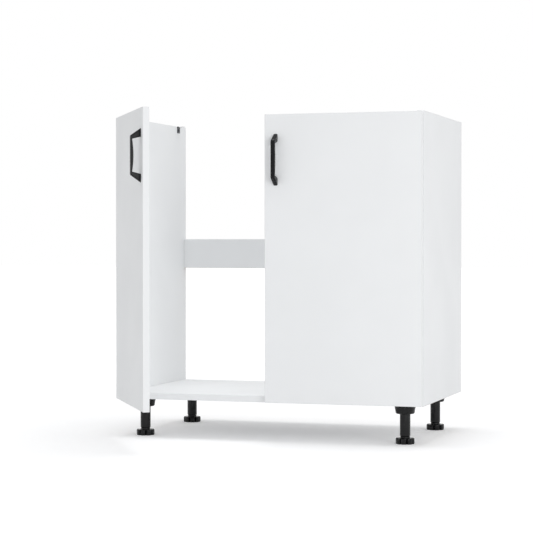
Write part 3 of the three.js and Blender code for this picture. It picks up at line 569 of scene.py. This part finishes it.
def make_piece(name, grids, body, material, replaces=(), place=None):
    """Builds one object from (points, edge) grids and puts it on its CAD body."""
    vertices, faces, edges = [], [], []
    count = 0
    for points, edge in grids:
        rows, columns = points.shape[:2]
        poles = [points[0].mean(0), points[-1].mean(0)]
        flat = np.vstack([points.reshape(-1, 3), *poles])
        worn = np.broadcast_to(edge, (rows, columns)).reshape(-1)
        worn = np.concatenate([worn, [0.0, 0.0]])
        own = grid_faces(rows, columns)
        if grid_volume(flat, own) < 0:
            own = [face[::-1] for face in own]
        faces += [[corner + count for corner in face] for face in own]
        vertices.append(flat)
        edges.append(worn)
        count += len(flat)
    vertices = np.vstack(vertices)
    if place is not None:
        vertices = vertices @ place[:3, :3].T + place[:3, 3]
    mesh = bpy.data.meshes.new(name)
    mesh.from_pydata(vertices.tolist(), [], faces)
    attribute = mesh.attributes.new("edge", "FLOAT", "POINT")
    attribute.data.foreach_set("value", np.concatenate(edges).astype(np.float32))
    mesh.shade_smooth()
    mesh.set_sharp_from_angle(angle=SHARP_ANGLE)
    mesh.materials.append(material)
    piece = bpy.data.objects.new(name, mesh)
    scene.collection.objects.link(piece)
    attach(piece, body)
    if replaces:
        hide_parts(*replaces)


# %% [markdown]
# ## Where a door stands
# Door pieces are drawn with the door closed. A concealed hinge has no single
# axis: the outer link turns a little about the arm while the door turns about
# the end of that link. The matrix below does these two turns, and it is the
# same pair of turns as in the CAD model. A plain turn about the cup's pivot
# would leave the open door's handle six millimetres beside its holes.

# %% Door places
HALF_WIDTH = 0.4
ARM_PIVOT = (0.038, -0.0113)
CUP_PIVOT = (0.0106, 0.0066)
LINK_SHARE = -0.19
OPENING = {"left": LEFT_DOOR_OPEN, "right": 0.0}
SIDES = {"left": -1.0, "right": 1.0}


def plan(side, inwards, forwards):
    """x and y of a point that is given from the side panel's front outer corner."""
    return side * (HALF_WIDTH - inwards), FRONT - forwards


def turned(x, y, degrees):
    """4 x 4 matrix of a turn about the upright line through x, y."""
    angle = math.radians(degrees)
    c, s = math.cos(angle), math.sin(angle)
    matrix = np.eye(4)
    matrix[:2, :2] = [[c, -s], [s, c]]
    matrix[:2, 3] = [x - c * x + s * y, y - s * x - c * y]
    return matrix


def door_place(word):
    """Closed door to the door as it stands: outer link's turn, then the door's."""
    side, angle = SIDES[word], OPENING[word]
    link = turned(*plan(side, *ARM_PIVOT), side * LINK_SHARE * angle)
    door = turned(*plan(side, *CUP_PIVOT), side * (1 - LINK_SHARE) * angle)
    return link @ door


DOOR_PLACE = {word: door_place(word) for word in SIDES}
print("left door stands", OPENING["left"], "degrees open")

# %% [markdown]
# ## Bow handles
# The handle is one bar bent at two sharp knees. Seen from the side, its outer
# line slants out from the door, and runs flat along the grip. Its inner line is
# further in at the legs, and swells gently towards the middle of the grip. A
# bevelled curve would be equally thick all along, so a rounded section is
# lofted between the two lines instead.

# %% Handle surface
DOOR_FACE = FRONT - 0.0181
HANDLE_HEIGHT = 0.701
HANDLE_X = 0.0295
HANDLE_HALF_WIDTH = 0.0055
HANDLE_PROUD = 0.025
HANDLE_HALF_LENGTH = 0.064
OUTER_KNEE_Z = 0.0465
INNER_PROUD = 0.0205
INNER_FOOT_Z = 0.0436
INNER_KNEE_Z = 0.0385
GRIP_SWELL = 0.0032
KNEE_WINDOW = 0.022
STATIONS = (0.0, 0.3, 0.5, 0.7, 1.0)


def rounded_path(values, at):
    """A polyline through the handle's feet, knees and middle, averaged over a short
    window, which rounds its corners. The ends stay where they are."""
    spread = np.linspace(-KNEE_WINDOW, KNEE_WINDOW, 9)
    weights = np.cos(spread / KNEE_WINDOW * math.pi / 2) ** 2
    reach = np.minimum(np.minimum(at, 1 - at) / KNEE_WINDOW, 1.0)
    samples = at[:, None] + spread[None, :] * reach[:, None]
    read = np.interp(samples.ravel(), STATIONS, values).reshape(samples.shape)
    return (read * weights).sum(1) / weights.sum()


def squared_ring(count, power):
    """cos and sin raised to a small power: a square with round corners, and a mask
    that is 1 at the corners."""
    turn = np.arange(count) * 2 * math.pi / count + math.pi / count
    c, s = np.cos(turn), np.sin(turn)
    corner = 2 * np.abs(c * s)
    return np.sign(c) * np.abs(c) ** power, np.sign(s) * np.abs(s) ** power, corner**6


def handle_grid():
    """Point = middle of the outer and inner line + half their gap times the ring's
    first part + half the width times its second part."""
    at = np.concatenate([np.linspace(0, 0.3, 40), np.linspace(0.31, 0.69, 70)])
    at = np.concatenate([at, np.linspace(0.7, 1, 40)])

    def depth_line(proud):
        return rounded_path([0.0, proud, proud, proud, 0.0], at)

    def height_line(foot, knee):
        return rounded_path([foot, knee, 0.0, -knee, -foot], at)

    outer_depth = depth_line(HANDLE_PROUD)
    outer_z = height_line(HANDLE_HALF_LENGTH, OUTER_KNEE_Z)
    inner_z = height_line(INNER_FOOT_Z, INNER_KNEE_Z)
    swell = GRIP_SWELL * np.clip(1 - (inner_z / INNER_KNEE_Z) ** 2, 0, 1)
    inner_depth = depth_line(INNER_PROUD) - swell
    first, second, corner = squared_ring(56, 0.34)
    middle = np.stack([outer_depth + inner_depth, outer_z + inner_z], -1) / 2
    gap = np.stack([outer_depth - inner_depth, outer_z - inner_z], -1) / 2
    plane = middle[:, None, :] + gap[:, None, :] * first[None, :, None]
    across = HANDLE_HALF_WIDTH * second[None, :] * np.ones((len(at), 1))
    points = np.stack([across, -plane[..., 0], plane[..., 1]], -1)
    return points, corner[None, :] * np.ones((len(at), 1))


for word, side in SIDES.items():
    points, edge = handle_grid()
    points = points + np.array([side * HANDLE_X, DOOR_FACE, HANDLE_HEIGHT])
    make_piece(
        word + "_bow_handle",
        [(points, edge)],
        word + "_door_set",
        HANDLE_BLACK,
        (word + "_handle",),
        DOOR_PLACE[word],
    )
print("handle grid", points.shape)

# %% [markdown]
# ## Screws
# A screw head is a low dome with a cross pressed into it. As a height over a
# disc it is one formula: the dome falls off with the fourth power of the
# radius, and two crossed slots are sunk into it with soft sides. The rim drops
# to the seat, so that the head has a real thickness. Cutting the cross with a
# boolean would leave ragged faces on such a small thing. The handle's screws
# sit in the back of the door, the others in the hinges and brackets.


# %% Screw heads
def head_grid(centre, axis, radius, height, turn=0.4):
    """Dome height h(1 - 0.35 q^4) with q = r / radius, less a cross of depth 0.55 h whose
    arms are about 0.3 radius wide and end near 0.6 radius. A rim runs down to the seat."""
    q = np.concatenate([np.linspace(0.02, 0.9, 15), [0.95, 0.985, 1.0, 1.0, 0.98]])
    drop = np.zeros(len(q))
    drop[-2:] = 1.0
    angle = np.arange(40) * 2 * math.pi / 40 + turn
    x, y = np.outer(q, np.cos(angle)), np.outer(q, np.sin(angle))
    dome = height * (1 - 0.35 * q**4)[:, None] * (1 - drop)[:, None]
    near, far = np.minimum(abs(x), abs(y)), np.maximum(abs(x), abs(y))
    slot = np.clip((0.17 - near) / 0.07, 0, 1) * np.clip((0.62 - far) / 0.12, 0, 1)
    lift = dome - 0.55 * height * slot
    forward = np.array(axis, float)
    helper = np.array([0.0, 0.0, 1.0]) if abs(forward[2]) < 0.9 else np.array([1.0, 0.0, 0.0])
    right = np.cross(helper, forward)
    up = np.cross(forward, right)
    points = np.array(centre, float) + radius * (x[..., None] * right + y[..., None] * up)
    return points + lift[..., None] * forward, np.clip(q, 0, 1)[:, None] ** 8 * (1 - slot)


# %% Screws in their places
HINGE_Z = {"lower": 0.198, "upper": 0.714}
HANDLE_SCREWS = {"lower": -0.048, "upper": 0.048}
DOOR_BACK_SEAT = 0.0017
CUP_SCREW_INWARDS = 0.0325
CUP_FLANGE_SEAT = 0.00105
CUP_SCREW_REACH = 0.0225
PLATE_FACE_INWARDS = 0.0181
PLATE_BACKWARDS = 0.037
PLATE_SCREW_REACH = 0.016
ARM_ROOF_INWARDS = 0.02705
LOCK_SCREW_BACKWARDS = 0.055
BRACKET_SCREW = (0.3816, 0.401, 0.8062)

for word, side in SIDES.items():
    for level, offset in HANDLE_SCREWS.items():
        seat = (side * HANDLE_X, FRONT - DOOR_BACK_SEAT, HANDLE_HEIGHT + offset)
        make_piece(
            f"{word}_handle_screw_head_{level}",
            [head_grid(seat, (0, 1, 0), 0.0041, 0.0026)],
            word + "_door_set",
            NICKEL,
            (f"{word}_handle_screw_{level}",),
            DOOR_PLACE[word],
        )
    for level, z in HINGE_Z.items():
        cup_x, flange_y = plan(side, CUP_SCREW_INWARDS, CUP_FLANGE_SEAT)
        wing = [
            head_grid((cup_x, flange_y, z + reach), (0, 1, 0), 0.0038, 0.0011, 0.9)
            for reach in (-CUP_SCREW_REACH, CUP_SCREW_REACH)
        ]
        make_piece(
            f"hinge_cup_screws_{word}_{level}",
            wing,
            word + "_door_set",
            NICKEL,
            place=DOOR_PLACE[word],
        )
        face_x, mid_y = plan(side, PLATE_FACE_INWARDS, -PLATE_BACKWARDS)
        roof_x, lock_y = plan(side, ARM_ROOF_INWARDS, -LOCK_SCREW_BACKWARDS)
        inwards = (-side, 0, 0)
        heads = [
            head_grid((face_x, mid_y, z - PLATE_SCREW_REACH), inwards, 0.0036, 0.0018),
            head_grid((face_x, mid_y, z + PLATE_SCREW_REACH), inwards, 0.0036, 0.0018, 1.1),
            head_grid((roof_x, lock_y, z), inwards, 0.0032, 0.0016, 0.2),
            head_grid((roof_x, mid_y - 0.003, z), inwards, 0.0026, 0.0009, 0.7),
        ]
        make_piece(f"hinge_plate_screws_{word}_{level}", heads, "carcass", NICKEL)
    bracket_hole = (side * BRACKET_SCREW[0], FRONT + BRACKET_SCREW[1], BRACKET_SCREW[2])
    make_piece(
        f"bracket_screw_{word}",
        [head_grid(bracket_hole, (-side, 0, 0), 0.0041, 0.0019)],
        "carcass",
        BRACKET_STEEL,
    )

# %% [markdown]
# ## Legs
# Each leg is three mouldings. The socket is a shallow cone screwed under the
# floor board. The tube is pushed into it. The foot is a thick disc with finger
# grooves in its rim, and it turns on a coarse screw that raises or lowers the
# corner, so no two feet need stand at the same angle. All three are revolved.
# A spin would do for the socket and the tube. The foot's radius also changes
# with the angle, and the radius of its spindle follows a helix, so one formula
# takes the radius from the profile and changes it. Heights are from the floor.

# %% Leg surfaces
LEG_X = 0.343
LEG_ROWS = {"front": 0.05, "rear": 0.4}
FOOT_TURNS = {"left_front": -65.0, "left_rear": -90.0, "right_front": -65.0, "right_rear": -86.0}
AROUND = 96


def softened(corners, radius, steps=5):
    """A profile whose corners are cut by quadratic curves of the given reach."""
    corners = np.array(corners, float)
    out = [corners[:1]]
    for before, corner, after in zip(corners[:-2], corners[1:-1], corners[2:], strict=True):
        to_before, to_after = before - corner, after - corner
        length = min(np.linalg.norm(to_before), np.linalg.norm(to_after))
        reach = min(radius, 0.45 * length)
        start = corner + to_before / np.linalg.norm(to_before) * reach
        end = corner + to_after / np.linalg.norm(to_after) * reach
        t = np.linspace(0, 1, steps)[:, None]
        out.append((1 - t) ** 2 * start + 2 * t * (1 - t) * corner + t**2 * end)
    out.append(corners[-1:])
    return np.vstack(out)


def rim_mask(profile):
    """1 where the profile turns outwards, measured by how its direction changes."""
    step = np.gradient(profile, axis=0)
    direction = np.unwrap(np.arctan2(step[:, 1], step[:, 0]))
    bend = np.abs(np.gradient(direction))
    return np.clip(bend / (bend.max() + 1e-9) * 1.4, 0, 1)


def revolved(profile, x, y, columns=AROUND, shape=None):
    """(x + r cos t, y + r sin t, z) for every profile point (r, z) and angle t. Where
    shape is given, it changes r by height and angle."""
    angle = np.arange(columns) * 2 * math.pi / columns
    radius = profile[:, :1] * np.ones((1, columns))
    if shape is not None:
        radius = shape(radius, profile[:, 1:2], angle[None, :])
    height = profile[:, 1:2] * np.ones((1, columns))
    points = [x + radius * np.cos(angle), y + radius * np.sin(angle), height]
    return np.stack(points, -1), rim_mask(profile)[:, None] * np.ones((1, columns))


LOBES = 8
GROOVE_DEPTH = 0.0045
GROOVE_HALF_WIDTH = math.radians(5.5)
RIM_SWELL = 0.0005
THREAD_PITCH = 0.003
THREAD_DEPTH = 0.0007


def finger_grooves(first_groove):
    """Shape with eight narrow grooves: r less 4.5 mm times exp(-(d / w)^2), where d is
    the angle to the nearest groove, on a rim that swells 0.5 mm between them."""

    def shape(radius, height, angle):
        pitch = 2 * math.pi / LOBES
        off = (angle - first_groove + pitch / 2) % pitch - pitch / 2
        near_rim = np.clip((radius - 0.015) / 0.005, 0, 1)
        groove = np.exp(-((off / GROOVE_HALF_WIDTH) ** 2))
        swell = 1 - np.abs(np.sin(off * LOBES / 2))
        return radius - near_rim * (GROOVE_DEPTH * groove + RIM_SWELL * swell)

    return shape


def screw_thread(radius, height, angle):
    """r less a clipped triangle wave of the helix phase z / pitch - angle / 2 pi."""
    phase = (height / THREAD_PITCH - angle / (2 * math.pi)) % 1.0
    wave = np.abs(2 * phase - 1)
    return radius - THREAD_DEPTH * np.clip(1.6 * wave - 0.3, 0, 1)


# %% Leg profiles
SPINDLE_RADIUS = 0.006

socket_profile = softened(
    [
        (0.0133, 0.0934),
        (0.0133, 0.075),
        (0.0142, 0.0747),
        (0.0213, 0.0747),
        (0.0233, 0.0763),
        (0.0261, 0.0924),
        (0.0271, 0.0936),
        (0.0271, 0.0969),
        (0.0002, 0.0969),
    ],
    0.0006,
)
tube_profile = softened(
    [
        (0.0002, 0.0595),
        (0.0064, 0.0595),
        (0.0064, 0.0213),
        (0.0109, 0.0213),
        (0.0109, 0.0195),
        (0.0123, 0.0195),
        (0.013, 0.0203),
        (0.013, 0.0915),
        (0.012, 0.093),
        (0.0002, 0.093),
    ],
    0.0003,
)
foot_profile = softened(
    [
        (0.0002, 0.0),
        (0.022, 0.0),
        (0.0231, 0.0008),
        (0.0234, 0.0024),
        (0.0234, 0.0128),
        (0.0228, 0.0145),
        (0.0215, 0.0152),
        (0.0132, 0.0155),
        (0.0121, 0.0162),
        (0.0121, 0.0185),
        (0.0105, 0.0188),
        (0.0105, 0.0205),
        (0.0098, 0.021),
        (0.0002, 0.021),
    ],
    0.0007,
)
spindle_z = np.linspace(0.0208, 0.0595, 118)
spindle_profile = np.stack([np.full(len(spindle_z), SPINDLE_RADIUS), spindle_z], -1)

# %% Legs in their places
for word, side in SIDES.items():
    for row, back in LEG_ROWS.items():
        tag = f"{word}_{row}"
        x, y = side * LEG_X, FRONT + back
        grooves = finger_grooves(math.radians(FOOT_TURNS[tag]))
        disc = revolved(foot_profile, x, y, 240, grooves)
        spindle = revolved(spindle_profile, x, y, 36, screw_thread)
        pieces = {
            "socket": ([revolved(socket_profile, x, y)], "carcass"),
            "tube": ([revolved(tube_profile, x, y)], "carcass"),
            "foot": ([disc, spindle], f"foot_{tag}"),
        }
        for part, (grids, body) in pieces.items():
            make_piece(
                f"{part}_{tag}", grids, body, LEG_BLACK, (f"leg_{part}_{tag}",)
            )
print("leg profiles", len(socket_profile), len(tube_profile), len(foot_profile))

# %% [markdown]
# ## Bumpers
# A clear soft dot on the back of each door meets the edge of the floor board
# and keeps the door two millimetres off. Its dome is part of an ellipse, half
# as high at the rim as in the middle, revolved like the legs and laid on its
# side.

# %% Bumpers
BUMPER_RADIUS = 0.004
BUMPER_HEIGHT = 0.0016
BUMPER_PLACE = (0.023, 0.0019, 0.105)

dome = np.linspace(0.02, 1.0, 12)
bumper_radius = np.concatenate([BUMPER_RADIUS * dome, [BUMPER_RADIUS]])
bumper_height = np.concatenate([BUMPER_HEIGHT * np.sqrt(1 - 0.75 * dome**2), [0.0]])
bumper_profile = np.stack([bumper_radius, bumper_height], -1)
for word, side in SIDES.items():
    points, edge = revolved(bumper_profile, 0.0, 0.0, 32)
    laid = np.stack([points[..., 0], points[..., 2], points[..., 1]], -1)
    laid = laid + np.array([side * BUMPER_PLACE[0], FRONT - BUMPER_PLACE[1], BUMPER_PLACE[2]])
    make_piece(
        word + "_bumper_dot",
        [(laid, edge)],
        word + "_door_set",
        CLEAR,
        (word + "_door_bumper",),
        DOOR_PLACE[word],
    )
print("bumper profile", bumper_profile.shape)

# %% [markdown]
# ## Floor and light
# The floor and the backdrop are plain white. A ray that shows the floor sees
# its lit surface, which holds the soft shadow, with some plain white on top,
# and more of it further away, so that the floor runs into the backdrop. A
# curved sweep would do the same in a studio, but would cut off the light from
# behind. A wide pale sky gives most of the light, a large soft lamp from the
# front right shapes it, and one overhead lays the shadow under the cabinet.


# %% Floor
def seen_plainly(tree):
    """1 for rays that show the surroundings: straight, mirrored or through glass."""
    path = put(tree, "LightPath").outputs
    picture = sums(tree, "MAXIMUM", path["Is Camera Ray"], path["Is Transmission Ray"])
    return sums(tree, "MAXIMUM", picture, path["Is Glossy Ray"])


FLOOR_LIFT = 0.2
FAR_LIFT = 0.6
FADE_FROM = 0.9
FADE_TO = 2.6
FLOOR_REACH = 30.0
FLOOR_WHITE = (0.9, 0.9, 0.905, 1.0)
PLAIN_WHITE = (1.0, 1.0, 1.0, 1.0)

floor_mesh = bpy.data.meshes.new("floor")
signs = ((-1, -1), (1, -1), (1, 1), (-1, 1))
corners = [(FLOOR_REACH * x, FLOOR_REACH * y, 0.0) for x, y in signs]
floor_mesh.from_pydata(corners, [], [(0, 1, 2, 3)])
floor = bpy.data.objects.new("floor", floor_mesh)
scene.collection.objects.link(floor)
floor_material = bpy.data.materials.new("floor_white")
floor_material.use_nodes = True
tree = floor_material.node_tree
tree.nodes.clear()
lit = put(tree, "BsdfDiffuse", {"Color": FLOOR_WHITE})
seen = seen_plainly(tree)
away = put(tree, "VectorMath", {0: put(tree, "TexCoord").outputs["Object"]}, operation="LENGTH")
fade = ramp(tree, away.outputs["Value"], FADE_FROM, FADE_TO, FLOOR_LIFT, FAR_LIFT)
lift = sums(tree, "MULTIPLY", seen, fade)
plain = put(tree, "Emission", {"Color": PLAIN_WHITE, "Strength": lift})
mixed = put(tree, "AddShader", {0: lit.outputs[0], 1: plain.outputs[0]})
surface = tree.nodes.new("ShaderNodeOutputMaterial").inputs["Surface"]
tree.links.new(mixed.outputs[0], surface)
floor_mesh.materials.append(floor_material)
print("floor", 2 * FLOOR_REACH, "metres across")

# %% World and lamps
SKY = 0.7
SKY_COLOUR = (0.99, 0.995, 1.0, 1.0)

world = bpy.data.worlds.new("sky")
scene.world = world
world.use_nodes = True
tree = world.node_tree
tree.nodes.clear()
seen = seen_plainly(tree)
ambient = put(tree, "Background", {"Color": SKY_COLOUR, "Strength": SKY})
white = put(tree, "Background", {"Color": PLAIN_WHITE, "Strength": 1.0})
mixed = put(tree, "MixShader", {0: seen, 1: ambient.outputs[0], 2: white.outputs[0]})
surface = tree.nodes.new("ShaderNodeOutputWorld").inputs["Surface"]
tree.links.new(mixed.outputs[0], surface)


def soft_lamp(name, place, target, size, power):
    """A square lamp that faces a point."""
    data = bpy.data.lights.new(name, "AREA")
    data.shape = "SQUARE"
    data.size = size
    data.energy = power
    lamp = bpy.data.objects.new(name, data)
    away = np.array(place, float) - np.array(target, float)
    flat = math.hypot(away[0], away[1])
    lamp.location = place
    lamp.rotation_euler = (math.atan2(flat, away[2]), 0.0, math.atan2(away[0], -away[1]))
    scene.collection.objects.link(lamp)


MIDDLE = (0.0, 0.1, 0.42)
soft_lamp("key", place=(2.35, -2.35, 0.87), target=MIDDLE, size=1.6, power=26.0)
soft_lamp("top", place=(-0.05, 0.35, 3.3), target=MIDDLE, size=1.8, power=29.0)
